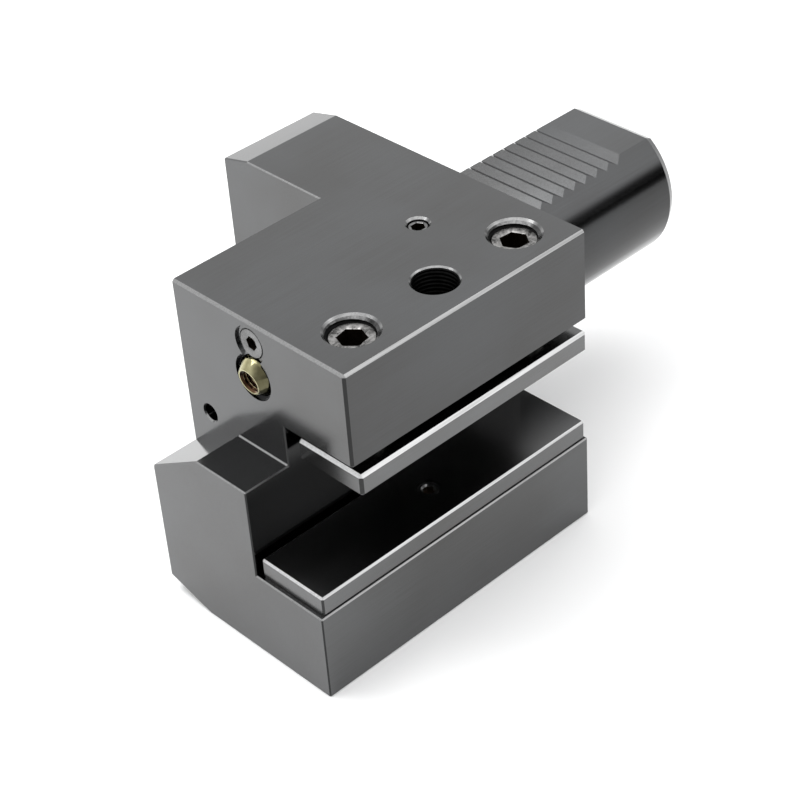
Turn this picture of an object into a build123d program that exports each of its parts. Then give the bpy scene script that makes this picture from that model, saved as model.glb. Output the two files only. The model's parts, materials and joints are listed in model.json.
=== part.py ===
"""Axial turning tool holder with a 40 mm serrated shank and an open tool slot.

Millimetres, +Z up. The origin is on the shank axis in the contact face of the flange.
+X runs along the shank, out of the machine side, and the tool slot opens towards -Y.
"""

from build123d import *
from math import radians, sqrt, tan
import os

# Head: block, lower jaw and flange wing, ground from one piece
HEAD_LENGTH = 85.0
BLOCK_LENGTH = 72.5
WING_THICKNESS = 29.0
TOP_HEIGHT = 32.7
BOTTOM_DEPTH = 48.0
WING_DEPTH = 32.7
RIGHT_WIDTH = 46.5
LEFT_WIDTH = 8.5
WING_WIDTH = 42.5
WING_SLOPE_RUN = 8.7
WING_SLOPE_DROP = 2.2
KEEL_RUN = 13.9
KEEL_RISE = 3.9
EDGE_BREAK = 0.6
FINE_BREAK = 0.3
LEAST_FOLD = 50.0

# Tool slot and the ledge in front of the block
SLOT_WALL = 25.0
SLOT_FLOOR = 25.0
JAW_UNDERSIDE = 9.0
LEDGE_DEPTH = 1.5
LEDGE_SLOPE_RUN = 17.0
LEDGE_SLOPE_ANGLE = 30.0

# Shank with its serrated flat
SHANK_RADIUS = 20.0
SHANK_LENGTH = 63.0
SHANK_LEAD_LENGTH = 2.0
SHANK_LEAD_DROP = 1.0
FLAT_HEIGHT = 16.0
FLAT_START = 13.0
TOOTH_COUNT = 9
TOOTH_PITCH = 4.0
TOOTH_DEPTH = 1.35
TOOTH_HALF_MOUTH = 2.4
END_LAND = 14.6
SEAL_GROOVE_START = 4.5
SEAL_GROOVE_WIDTH = 2.4
SEAL_WIRE_RADIUS = 1.0
SEAL_RECESS = 0.05
ROOT_RELIEF = 0.1

# Fits
THREAD_GAP = 0.05
PIN_GAP = 0.01
RING_GAP = 0.05
RING_SIDES = 8

# Clamping screws, their row and the middle bore between them
CLAMP_ROW = 35.6
FRONT_SCREW_INSET = 12.4
REAR_SCREW_INSET = 11.1
CLAMP_THREAD_RADIUS = 6.0
CLAMP_COUNTERSINK = 0.5
CLAMP_SCREW_LENGTH = 25.0
CLAMP_END_CHAMFER = 0.55
CLAMP_POINT_RADIUS = 4.4
CLAMP_POINT_CHAMFER = 1.4
CLAMP_HEX = 6.0
CLAMP_HEX_DEPTH = 8.0

# Pressure plate
PLATE_GAP = 3.0
PLATE_THICKNESS = 5.6
PLATE_WALL_GAP = 1.9
PLATE_PROUD = 0.4
PLATE_FRONT_INSET = 1.7
PLATE_BACK_INSET = 0.3
PLATE_CHAMFER = 0.7

# Lifting screw and spring in the middle bore
MIDDLE_BORE_RADIUS = 5.35
MIDDLE_CHAMFER = 0.35
MIDDLE_WEB = 4.0
LIFT_THREAD_RADIUS = 3.0
LIFT_HOLE_GAP = 0.3
LIFT_SCREW_LENGTH = 20.0
LIFT_END_GAP = 0.2
LIFT_HEAD_RADIUS = 5.0
LIFT_HEAD_HEIGHT = 4.0
LIFT_HEAD_CHAMFER = 0.4
LIFT_HEX = 4.0
LIFT_HEX_DEPTH = 2.3
SPRING_WIRE = 1.0
SPRING_TURNS = 3.5
SPRING_SIDE_GAP = 0.3

# Base plate with its screw and pins
BASE_THICKNESS = 5.0
BASE_SIDE_INSET = 0.5
BASE_WALL_GAP = 1.2
BASE_FRONT_INSET = 1.1
BASE_BACK_INSET = 0.5
BASE_CHAMFER = 0.45
BASE_HEAD_RADIUS = 2.75
BASE_HEAD_HEIGHT = 3.0
BASE_HEAD_RECESS = 0.4
BASE_HEAD_GAP = 0.2
BASE_THREAD_RADIUS = 1.5
BASE_SCREW_LENGTH = 8.0
BASE_HEX = 2.5
BASE_HEX_DEPTH = 1.3
BASE_PIN_RADIUS = 2.0
BASE_PIN_LENGTH = 10.0
BASE_PIN_CAP = 1.5
BASE_PIN_SPAN = 56.0

# Ball nozzle, its seat, seal and lock screw, in the block's front face
NOZZLE_SIDE = 16.5
NOZZLE_DROP = 14.5
BALL_RADIUS = 5.0
BALL_DEPTH = 2.2
BALL_GAP = 0.1
BALL_TILT = 8.0
COLLAR_REACH = 3.6
COLLAR_RADIUS = 3.4
COLLAR_FOOT_RADIUS = 4.75
BALL_THREAD_RADIUS = 2.5
BALL_THREAD_DEPTH = 4.6
BALL_THREAD_CHAMFER = 0.4
BALL_JET_RADIUS = 1.25
SEAT_MOUTH_RADIUS = 5.7
SEAT_MOUTH_DEPTH = 1.2
NOZZLE_RING_RADIUS = 3.6
NOZZLE_RING_WIRE = 1.0
LOCK_RECESS = 0.55
LOCK_HEAD_RADIUS = 3.7
LOCK_HEAD_GAP = 0.9
LOCK_THREAD_RADIUS = 2.5
LOCK_LENGTH = 10.0
LOCK_HEX = 3.0
LOCK_HEX_DEPTH = 1.6

# Coolant channels and the set screws that close them
CROSS_STATION = 22.0
NOZZLE_CHANNEL_RADIUS = 2.5
FRONT_CHANNEL_RADIUS = 2.1
FRONT_CHANNEL_COUNTERSINK = 0.35
FRONT_CHANNEL_SIDE = 1.0
SHANK_CHANNEL_RADIUS = 3.4
CROSS_CHANNEL_RADIUS = 3.0
INLET_OFFSET = 28.0
INLET_RADIUS = 4.0
INLET_RING_RADIUS = 5.6
INLET_RING_WIRE = 1.0
DRILL_POINT = 1.2
SMALL_PLUG_RADIUS = 2.5
SMALL_PLUG_LENGTH = 8.0
SMALL_PLUG_RECESS = 0.8
SMALL_PLUG_HEX = 2.5
FRONT_PLUG_LENGTH = 6.0
FRONT_PLUG_RECESS = 5.0
FRONT_PLUG_HEX = 2.5
LARGE_PLUG_RADIUS = 4.0
LARGE_PLUG_LENGTH = 8.0
LARGE_PLUG_RECESS = 1.0
LARGE_PLUG_HEX = 4.0
PLUG_CHAMFER = 0.5
PLUG_COUNTERSINK = 0.5
HEX_SHARE_OF_PLUG = 0.5

# Places that follow from the sizes above
front_screw_station = BLOCK_LENGTH - FRONT_SCREW_INSET
middle_bore_station = (front_screw_station + REAR_SCREW_INSET) / 2
plate_top = JAW_UNDERSIDE - PLATE_GAP
plate_bottom = plate_top - PLATE_THICKNESS
plate_right = RIGHT_WIDTH + PLATE_PROUD
plate_inner = SLOT_WALL + PLATE_WALL_GAP
base_top = BASE_THICKNESS - SLOT_FLOOR
base_inner = SLOT_WALL + BASE_WALL_GAP
base_outer = RIGHT_WIDTH - BASE_SIDE_INSET
web_top = JAW_UNDERSIDE + MIDDLE_WEB
lift_head_underside = plate_bottom + LIFT_END_GAP + LIFT_SCREW_LENGTH
ledge_slope_drop = LEDGE_SLOPE_RUN * tan(radians(LEDGE_SLOPE_ANGLE))
nozzle_height = TOP_HEIGHT - NOZZLE_DROP
ball_center = Vector(-BLOCK_LENGTH + BALL_DEPTH, -NOZZLE_SIDE, nozzle_height)
seat_radius = BALL_RADIUS + BALL_GAP
ring_back = sqrt((seat_radius + NOZZLE_RING_WIRE) ** 2 - NOZZLE_RING_RADIUS**2)
seat_depth = BALL_DEPTH + ring_back + NOZZLE_RING_WIRE + RING_GAP
lock_reach = LOCK_HEAD_RADIUS + sqrt(seat_radius**2 - (BALL_DEPTH - LOCK_RECESS) ** 2)
lock_center = Vector(-BLOCK_LENGTH, -NOZZLE_SIDE, nozzle_height + lock_reach)
base_middle = Vector(
    -(HEAD_LENGTH - BASE_FRONT_INSET + BASE_BACK_INSET) / 2,
    -(base_inner + base_outer) / 2,
    base_top,
)

FROM_ABOVE = Plane(origin=(0, 0, 0), x_dir=(1, 0, 0), z_dir=(0, 0, -1))
FROM_FRONT = Plane(origin=(0, 0, 0), x_dir=(0, -1, 0), z_dir=(1, 0, 0))
FROM_SHANK_END = Plane(origin=(0, 0, 0), x_dir=(0, 1, 0), z_dir=(-1, 0, 0))
FROM_LEFT = Plane(origin=(0, 0, 0), x_dir=(1, 0, 0), z_dir=(0, -1, 0))


def drilling(mouth, view, steps, point=0.0):
    """A stepped hole or shaft turned on the view's inward axis.

    Each step is (depth, radius) along the outline, from the mouth inwards, and point
    is the depth of the conical end.
    """
    outline = [(0.0, steps[0][0])]
    outline += [(radius, depth) for depth, radius in steps]
    outline.append((0.0, steps[-1][0] + point))
    half = Plane.XZ * make_face(Polyline(*outline, close=True))
    turned = revolve(half, Axis.Z)
    place = Plane(origin=mouth, x_dir=view.x_dir, z_dir=view.z_dir)
    return place * turned


def hexagon(across, depth):
    """A hexagonal socket with its mouth at zero and its floor below it."""
    return extrude(RegularPolygon(across / 2, 6, major_radius=False), amount=depth)


def set_screw(mouth, view, radius, length, chamfer_end, across, socket_depth, point=None):
    """A headless socket screw whose outer end is at mouth."""
    tip_radius, tip_chamfer = point or (radius - chamfer_end, chamfer_end)
    steps = [
        (0.0, radius - chamfer_end),
        (chamfer_end, radius),
        (length - tip_chamfer, radius),
        (length, tip_radius),
    ]
    screw = drilling(mouth, view, steps)
    place = Plane(origin=mouth, x_dir=view.x_dir, z_dir=view.z_dir)
    return screw - place * hexagon(across, socket_depth)


def ring(center, axis, radius, wire):
    """A seal ring about the axis, with its round section as a polygon."""
    section = Plane.XZ * Pos(radius, 0) * RegularPolygon(wire, RING_SIDES, rotation=180 / RING_SIDES)
    return Plane(origin=center, z_dir=axis) * revolve(section, Axis.Z)


def prism_along_x(points, front, back):
    """An extruded section whose points are (y, z)."""
    section = Plane.YZ.offset(front) * make_face(Polyline(*points, close=True))
    return extrude(section, amount=back - front)


def crisp_edges(solid):
    """Outward edges whose faces meet at more than LEAST_FOLD degrees."""
    found = []
    faces = solid.faces()
    for edge in solid.edges():
        beside = [face for face in faces if any(edge.is_same(e) for e in face.edges())]
        if len(beside) != 2:
            continue
        middle = edge.position_at(0.5)
        first, second = (face.normal_at(middle) for face in beside)
        if first.get_angle(second) < LEAST_FOLD:
            continue
        if not solid.is_inside(middle + (first - second) * 0.05):
            found.append(edge)
    return ShapeList(found)


def at_block_corner(edge):
    """Whether two of the block's top, front and right faces meet in an edge."""
    middle = edge.center()
    gaps = (middle.Z - TOP_HEIGHT, middle.X + BLOCK_LENGTH, middle.Y + RIGHT_WIDTH)
    return sum(abs(gap) < FINE_BREAK for gap in gaps) == 2


def head_blank():
    """Block, projecting lower jaw and flange wing as one prism family."""
    lower = [
        (-SLOT_WALL, -SLOT_FLOOR),
        (-RIGHT_WIDTH, -SLOT_FLOOR),
        (-RIGHT_WIDTH, -BOTTOM_DEPTH),
        (LEFT_WIDTH - KEEL_RUN, -BOTTOM_DEPTH),
        (LEFT_WIDTH, -BOTTOM_DEPTH + KEEL_RISE),
    ]
    upper = [
        (LEFT_WIDTH, TOP_HEIGHT),
        (-RIGHT_WIDTH, TOP_HEIGHT),
        (-RIGHT_WIDTH, JAW_UNDERSIDE),
        (-SLOT_WALL, JAW_UNDERSIDE),
    ]
    ledge = [
        (LEFT_WIDTH, -LEDGE_DEPTH - ledge_slope_drop),
        (LEFT_WIDTH - LEDGE_SLOPE_RUN, -LEDGE_DEPTH),
        (-SLOT_WALL, -LEDGE_DEPTH),
    ]
    wing = [
        (LEFT_WIDTH - EDGE_BREAK, TOP_HEIGHT),
        (WING_WIDTH - WING_SLOPE_RUN, TOP_HEIGHT),
        (WING_WIDTH, TOP_HEIGHT - WING_SLOPE_DROP),
        (WING_WIDTH, -WING_DEPTH + WING_SLOPE_DROP),
        (WING_WIDTH - WING_SLOPE_RUN, -WING_DEPTH),
        (LEFT_WIDTH - EDGE_BREAK, -WING_DEPTH),
    ]
    blank = prism_along_x(upper + lower, -BLOCK_LENGTH, 0)
    blank += prism_along_x(ledge + lower, -HEAD_LENGTH, -BLOCK_LENGTH)
    blank += prism_along_x(wing, -WING_THICKNESS, 0)
    blank = blank.clean()
    blank = chamfer([edge for edge in crisp_edges(blank) if at_block_corner(edge)], EDGE_BREAK)
    return chamfer(crisp_edges(blank), FINE_BREAK)


def serrated_shank():
    """Round shank with a milled flat, cross teeth, lead taper, seal groove and relieved root."""
    outward = (Align.CENTER, Align.CENTER, Align.MIN)
    axis = Plane(origin=(0, 0, 0), x_dir=(0, 0, 1), z_dir=(1, 0, 0))
    shank = axis * Cylinder(SHANK_RADIUS, SHANK_LENGTH, align=outward)
    across = 2 * SHANK_RADIUS
    flat = Pos(FLAT_START, 0, FLAT_HEIGHT) * Box(
        SHANK_LENGTH, across, SHANK_RADIUS, align=(Align.MIN, Align.CENTER, Align.MIN)
    )
    shank -= flat
    end_face = shank.faces().sort_by(Axis.X)[-1]
    shank = chamfer(end_face.edges(), SHANK_LEAD_DROP, SHANK_LEAD_LENGTH, reference=end_face)
    relief = 1.0
    mouth = TOOTH_HALF_MOUTH * (TOOTH_DEPTH + relief) / TOOTH_DEPTH
    tooth = Polyline((0, -TOOTH_DEPTH), (mouth, relief), (-mouth, relief), close=True)
    cutter = extrude(Plane.XZ * make_face(tooth), amount=SHANK_RADIUS, both=True)
    for index in range(TOOTH_COUNT):
        station = SHANK_LENGTH - END_LAND - index * TOOTH_PITCH
        shank -= Pos(station, 0, FLAT_HEIGHT) * cutter
    groove_floor = SHANK_RADIUS - SEAL_RECESS - 2 * SEAL_WIRE_RADIUS
    relief_start = SEAL_GROOVE_START + SEAL_GROOVE_WIDTH
    for start, end, floor in (
        (SEAL_GROOVE_START, relief_start, groove_floor),
        (relief_start, FLAT_START, SHANK_RADIUS - ROOT_RELIEF),
    ):
        band = Cylinder(across, end - start, align=outward)
        band -= Cylinder(floor, end - start, align=outward)
        shank -= axis.offset(start) * band
    return shank


def tapped_mouth(mouth, view, radius, length, bore_radius, bore_depth, sink=PLUG_COUNTERSINK):
    """A countersunk threaded mouth that leads into a narrower drilling."""
    steps = [(0.0, radius + sink), (sink, radius), (length, radius), (length, bore_radius)]
    steps.append((bore_depth, bore_radius))
    return drilling(mouth, view, steps, DRILL_POINT)


def clamp_holes():
    """Threaded holes of the two clamping screws and the stepped middle bore."""
    depth = TOP_HEIGHT - JAW_UNDERSIDE
    steps = [(0.0, CLAMP_THREAD_RADIUS + CLAMP_COUNTERSINK)]
    steps.append((CLAMP_COUNTERSINK, CLAMP_THREAD_RADIUS))
    steps.append((depth, CLAMP_THREAD_RADIUS))
    holes = [
        drilling((-station, -CLAMP_ROW, TOP_HEIGHT), FROM_ABOVE, steps)
        for station in (front_screw_station, REAR_SCREW_INSET)
    ]
    lift_hole = LIFT_THREAD_RADIUS + LIFT_HOLE_GAP
    floor_depth = TOP_HEIGHT - web_top
    middle = [
        (0.0, MIDDLE_BORE_RADIUS + MIDDLE_CHAMFER),
        (MIDDLE_CHAMFER, MIDDLE_BORE_RADIUS),
        (floor_depth, MIDDLE_BORE_RADIUS),
        (floor_depth, lift_hole),
        (depth, lift_hole),
    ]
    holes.append(drilling((-middle_bore_station, -CLAMP_ROW, TOP_HEIGHT), FROM_ABOVE, middle))
    return holes


def nozzle_holes():
    """Ball seat with its channel, and the countersunk hole of the lock screw beside it."""
    seat_mouth = (-BLOCK_LENGTH, -NOZZLE_SIDE, nozzle_height)
    channel_end = BLOCK_LENGTH - CROSS_STATION
    seat = [
        (0.0, SEAT_MOUTH_RADIUS),
        (SEAT_MOUTH_DEPTH, SEAT_MOUTH_RADIUS),
        (SEAT_MOUTH_DEPTH, seat_radius),
        (seat_depth, seat_radius),
        (seat_depth, NOZZLE_CHANNEL_RADIUS),
        (channel_end, NOZZLE_CHANNEL_RADIUS),
    ]
    cone_foot = LOCK_RECESS + THREAD_GAP + LOCK_HEAD_RADIUS - LOCK_THREAD_RADIUS
    lock = [
        (0.0, LOCK_HEAD_RADIUS + LOCK_HEAD_GAP),
        (LOCK_RECESS + THREAD_GAP, LOCK_HEAD_RADIUS + LOCK_HEAD_GAP),
        (LOCK_RECESS + THREAD_GAP, LOCK_HEAD_RADIUS),
        (cone_foot, LOCK_THREAD_RADIUS),
        (LOCK_RECESS + LOCK_LENGTH + DRILL_POINT, LOCK_THREAD_RADIUS),
    ]
    return [
        drilling(seat_mouth, FROM_FRONT, seat, DRILL_POINT),
        drilling(lock_center, FROM_FRONT, lock, DRILL_POINT),
    ]


def coolant_channels():
    """Cross, vertical and axial drillings with their mouths, and the inlet port."""
    top = tapped_mouth(
        (-CROSS_STATION, -NOZZLE_SIDE, TOP_HEIGHT), FROM_ABOVE,
        SMALL_PLUG_RADIUS, SMALL_PLUG_RECESS + SMALL_PLUG_LENGTH,
        SMALL_PLUG_RADIUS - PLUG_CHAMFER, TOP_HEIGHT,
    )
    front = drilling(
        (-BLOCK_LENGTH, FRONT_CHANNEL_SIDE, 0), FROM_FRONT,
        [
            (0.0, FRONT_CHANNEL_RADIUS + FRONT_CHANNEL_COUNTERSINK),
            (FRONT_CHANNEL_COUNTERSINK, FRONT_CHANNEL_RADIUS),
            (BLOCK_LENGTH - CROSS_STATION, FRONT_CHANNEL_RADIUS),
        ],
    )
    shank = tapped_mouth(
        (SHANK_LENGTH, 0, 0), FROM_SHANK_END,
        LARGE_PLUG_RADIUS, LARGE_PLUG_RECESS + LARGE_PLUG_LENGTH,
        SHANK_CHANNEL_RADIUS, SHANK_LENGTH + CROSS_STATION,
    )
    cross = tapped_mouth(
        (-CROSS_STATION, WING_WIDTH, 0), FROM_LEFT,
        LARGE_PLUG_RADIUS, LARGE_PLUG_RECESS + LARGE_PLUG_LENGTH,
        CROSS_CHANNEL_RADIUS, WING_WIDTH + NOZZLE_SIDE,
    )
    ring_land = 2 * INLET_RING_WIRE + SEAL_RECESS
    inlet = drilling(
        (0, INLET_OFFSET, 0), FROM_SHANK_END,
        [
            (0.0, INLET_RING_RADIUS + INLET_RING_WIRE + RING_GAP),
            (ring_land, INLET_RING_RADIUS + INLET_RING_WIRE + RING_GAP),
            (ring_land, INLET_RADIUS),
            (CROSS_STATION, INLET_RADIUS),
        ],
    )
    return [top, front, shank, cross, inlet]


def base_holes():
    """Thread of the base plate's screw and the two pin holes in the slot floor."""
    screw_depth = BASE_SCREW_LENGTH + BASE_HEAD_RECESS + BASE_HEAD_HEIGHT - BASE_THICKNESS
    floor = (base_middle.X, base_middle.Y, -SLOT_FLOOR)
    screw = [(0.0, BASE_THREAD_RADIUS), (screw_depth, BASE_THREAD_RADIUS)]
    holes = [drilling(floor, FROM_ABOVE, screw, DRILL_POINT)]
    pin_depth = BASE_PIN_LENGTH - (BASE_THICKNESS - BASE_PIN_CAP)
    pin = [(0.0, BASE_PIN_RADIUS + PIN_GAP), (pin_depth, BASE_PIN_RADIUS + PIN_GAP)]
    for side in (-1, 1):
        foot = (base_middle.X + side * BASE_PIN_SPAN / 2, base_middle.Y, -SLOT_FLOOR)
        holes.append(drilling(foot, FROM_ABOVE, pin))
    return holes


def holder_body():
    """The one-piece steel body with every hole drilled."""
    body = head_blank() + serrated_shank()
    for hole in clamp_holes() + nozzle_holes() + coolant_channels() + base_holes():
        body -= hole
    return body


def plate_blank(low, high, edge):
    """A flat bar between two corners, chamfered all round."""
    size = [b - a for a, b in zip(low, high)]
    bar = Pos(*low) * Box(*size, align=(Align.MIN, Align.MIN, Align.MIN))
    return chamfer(bar.edges(), edge)


def pressure_plate():
    """Clamping bar below the upper jaw, tapped for the lifting screw."""
    low = (-BLOCK_LENGTH + PLATE_FRONT_INSET, -plate_right, plate_bottom)
    high = (-PLATE_BACK_INSET, -plate_inner, plate_top)
    bar = plate_blank(low, high, PLATE_CHAMFER)
    tapped = [(0.0, LIFT_THREAD_RADIUS), (PLATE_THICKNESS, LIFT_THREAD_RADIUS)]
    return bar - drilling((-middle_bore_station, -CLAMP_ROW, plate_top), FROM_ABOVE, tapped)


def clamp_screw(station):
    """Set screw that bears on the pressure plate with its flat point."""
    return set_screw(
        (-station, -CLAMP_ROW, plate_top + CLAMP_SCREW_LENGTH), FROM_ABOVE,
        CLAMP_THREAD_RADIUS - THREAD_GAP, CLAMP_SCREW_LENGTH, CLAMP_END_CHAMFER,
        CLAMP_HEX, CLAMP_HEX_DEPTH, (CLAMP_POINT_RADIUS, CLAMP_POINT_CHAMFER),
    )


def plate_lift_screw():
    """Low-head cap screw that hangs the pressure plate on its spring."""
    head_top = lift_head_underside + LIFT_HEAD_HEIGHT
    length = LIFT_HEAD_HEIGHT + LIFT_SCREW_LENGTH
    thread = LIFT_THREAD_RADIUS - THREAD_GAP
    steps = [
        (0.0, LIFT_HEAD_RADIUS - LIFT_HEAD_CHAMFER),
        (LIFT_HEAD_CHAMFER, LIFT_HEAD_RADIUS),
        (LIFT_HEAD_HEIGHT, LIFT_HEAD_RADIUS),
        (LIFT_HEAD_HEIGHT, thread),
        (length, thread),
    ]
    mouth = (-middle_bore_station, -CLAMP_ROW, head_top)
    place = Plane(origin=mouth, x_dir=FROM_ABOVE.x_dir, z_dir=FROM_ABOVE.z_dir)
    return drilling(mouth, FROM_ABOVE, steps) - place * hexagon(LIFT_HEX, LIFT_HEX_DEPTH)


def lift_spring():
    """Square-wire spring between the bore's web and the lifting screw's head."""
    mean_radius = LIFT_HEAD_RADIUS - SPRING_SIDE_GAP - SPRING_WIRE / 2
    height = lift_head_underside - web_top - SPRING_WIRE
    path = Helix(pitch=height / SPRING_TURNS, height=height, radius=mean_radius)
    section = Plane(origin=path @ 0, x_dir=(1, 0, 0), z_dir=path % 0) * Rectangle(SPRING_WIRE, SPRING_WIRE)
    coil = sweep(section, path=path, is_frenet=True)
    return Pos(-middle_bore_station, -CLAMP_ROW, web_top + SPRING_WIRE / 2) * coil


def base_plate():
    """Loose tool support on the slot floor, counterbored for its screw."""
    low = (-HEAD_LENGTH + BASE_FRONT_INSET, -base_outer, -SLOT_FLOOR)
    high = (-BASE_BACK_INSET, -base_inner, base_top)
    bar = plate_blank(low, high, BASE_CHAMFER)
    counterbore = BASE_HEAD_RADIUS + BASE_HEAD_GAP
    seat = BASE_HEAD_RECESS + BASE_HEAD_HEIGHT
    bore = BASE_THREAD_RADIUS + BASE_HEAD_GAP
    steps = [(0.0, counterbore), (seat, counterbore), (seat, bore), (BASE_THICKNESS, bore)]
    bar -= drilling(base_middle, FROM_ABOVE, steps)
    pin_top = BASE_THICKNESS - BASE_PIN_CAP
    for side in (-1, 1):
        foot = base_middle + Vector(side * BASE_PIN_SPAN / 2, 0, -BASE_PIN_CAP)
        hole = [(0.0, BASE_PIN_RADIUS + PIN_GAP), (pin_top, BASE_PIN_RADIUS + PIN_GAP)]
        bar -= drilling(foot, FROM_ABOVE, hole)
    return bar


def base_plate_screw():
    """Small cap screw in the middle of the base plate."""
    mouth = base_middle - Vector(0, 0, BASE_HEAD_RECESS)
    thread = BASE_THREAD_RADIUS - THREAD_GAP
    steps = [
        (0.0, BASE_HEAD_RADIUS),
        (BASE_HEAD_HEIGHT, BASE_HEAD_RADIUS),
        (BASE_HEAD_HEIGHT, thread),
        (BASE_SCREW_LENGTH + BASE_HEAD_HEIGHT, thread),
    ]
    place = Plane(origin=mouth, x_dir=FROM_ABOVE.x_dir, z_dir=FROM_ABOVE.z_dir)
    return drilling(mouth, FROM_ABOVE, steps) - place * hexagon(BASE_HEX, BASE_HEX_DEPTH)


def base_plate_pins():
    """Two dowel pins that keep the base plate from turning on its screw."""
    steps = [(0.0, BASE_PIN_RADIUS), (BASE_PIN_LENGTH, BASE_PIN_RADIUS)]
    pins = [
        drilling(base_middle + Vector(side * BASE_PIN_SPAN / 2, 0, -BASE_PIN_CAP), FROM_ABOVE, steps)
        for side in (-1, 1)
    ]
    return Compound(children=[pin.solid() for pin in pins])


def coolant_nozzle():
    """Brass ball with a short tapered collar and a threaded outlet, aimed a little down."""
    collar_foot = (COLLAR_FOOT_RADIUS, sqrt(BALL_RADIUS**2 - COLLAR_FOOT_RADIUS**2))
    jet_mouth = (BALL_JET_RADIUS, -sqrt(BALL_RADIUS**2 - BALL_JET_RADIUS**2))
    thread_floor = COLLAR_REACH - BALL_THREAD_DEPTH
    outline = Polyline(
        jet_mouth,
        (BALL_JET_RADIUS, thread_floor),
        (BALL_THREAD_RADIUS, thread_floor),
        (BALL_THREAD_RADIUS, COLLAR_REACH - BALL_THREAD_CHAMFER),
        (BALL_THREAD_RADIUS + BALL_THREAD_CHAMFER, COLLAR_REACH),
        (COLLAR_RADIUS, COLLAR_REACH),
        collar_foot,
    )
    outline += ThreePointArc(collar_foot, (BALL_RADIUS, 0), jet_mouth)
    ball = revolve(Plane.XZ * make_face(outline), Axis.Z)
    return Pos(*ball_center) * Rot(Y=-90 - BALL_TILT) * ball


def nozzle_lock_screw():
    """Countersunk screw whose head edge holds the ball in its seat."""
    steps = [
        (0.0, LOCK_HEAD_RADIUS),
        (LOCK_HEAD_RADIUS - LOCK_THREAD_RADIUS + THREAD_GAP, LOCK_THREAD_RADIUS - THREAD_GAP),
        (LOCK_LENGTH, LOCK_THREAD_RADIUS - THREAD_GAP),
    ]
    mouth = lock_center + Vector(LOCK_RECESS, 0, 0)
    place = Plane(origin=mouth, x_dir=FROM_FRONT.x_dir, z_dir=FROM_FRONT.z_dir)
    return drilling(mouth, FROM_FRONT, steps) - place * hexagon(LOCK_HEX, LOCK_HEX_DEPTH)


def nozzle_seal_ring():
    """Ring behind the ball that seals it and presses it against the lock screw."""
    center = ball_center + Vector(ring_back, 0, 0)
    return ring(center, (1, 0, 0), NOZZLE_RING_RADIUS, NOZZLE_RING_WIRE)


def shank_seal_ring():
    """Ring in the shank's groove next to the flange."""
    center = (SEAL_GROOVE_START + SEAL_GROOVE_WIDTH / 2, 0, 0)
    return ring(center, (1, 0, 0), SHANK_RADIUS - SEAL_RECESS - SEAL_WIRE_RADIUS, SEAL_WIRE_RADIUS)


def inlet_seal_ring():
    """Ring round the coolant port in the contact face."""
    center = (-SEAL_RECESS - INLET_RING_WIRE, INLET_OFFSET, 0)
    return ring(center, (1, 0, 0), INLET_RING_RADIUS, INLET_RING_WIRE)


def small_plug(mouth, view, length, radius, across):
    """Set screw that closes a channel's mouth."""
    return set_screw(
        mouth, view, radius - THREAD_GAP, length, PLUG_CHAMFER, across, length * HEX_SHARE_OF_PLUG
    )


def plugs():
    """The four set screws that close the channels, by node name."""
    return {
        "top_channel_plug": small_plug(
            (-CROSS_STATION, -NOZZLE_SIDE, TOP_HEIGHT - SMALL_PLUG_RECESS), FROM_ABOVE,
            SMALL_PLUG_LENGTH, SMALL_PLUG_RADIUS, SMALL_PLUG_HEX,
        ),
        "front_channel_plug": small_plug(
            (-BLOCK_LENGTH + FRONT_PLUG_RECESS, FRONT_CHANNEL_SIDE, 0), FROM_FRONT,
            FRONT_PLUG_LENGTH, FRONT_CHANNEL_RADIUS, FRONT_PLUG_HEX,
        ),
        "shank_channel_plug": small_plug(
            (SHANK_LENGTH - LARGE_PLUG_RECESS, 0, 0), FROM_SHANK_END,
            LARGE_PLUG_LENGTH, LARGE_PLUG_RADIUS, LARGE_PLUG_HEX,
        ),
        "side_channel_plug": small_plug(
            (-CROSS_STATION, WING_WIDTH - LARGE_PLUG_RECESS, 0), FROM_LEFT,
            LARGE_PLUG_LENGTH, LARGE_PLUG_RADIUS, LARGE_PLUG_HEX,
        ),
    }


def build_all():
    """Every piece of the holder, by node name."""
    pieces = {
        "holder_body": holder_body(),
        "pressure_plate": pressure_plate(),
        "front_clamp_screw": clamp_screw(front_screw_station),
        "rear_clamp_screw": clamp_screw(REAR_SCREW_INSET),
        "plate_lift_screw": plate_lift_screw(),
        "lift_spring": lift_spring(),
        "base_plate": base_plate(),
        "base_plate_screw": base_plate_screw(),
        "base_plate_pins": base_plate_pins(),
        "coolant_nozzle": coolant_nozzle(),
        "nozzle_lock_screw": nozzle_lock_screw(),
        "nozzle_seal_ring": nozzle_seal_ring(),
        "shank_seal_ring": shank_seal_ring(),
        "inlet_seal_ring": inlet_seal_ring(),
    }
    pieces.update(plugs())
    return pieces


os.makedirs("parts", exist_ok=True)
for node, piece in build_all().items():
    export_step(piece, f"parts/{node}.step")
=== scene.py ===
"""Looks of the turning tool holder: finishes, threads, screws, nozzle, spring and studio.

The frame is in metres. Pieces are drawn in millimetres, round the nodes that they stand
for, and turned to metres by MM. The places that a finish follows, the lights and the
camera are in metres.
"""

import json
import math
from collections import namedtuple

import bmesh
import bpy
from mathutils import Matrix, Vector


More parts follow.
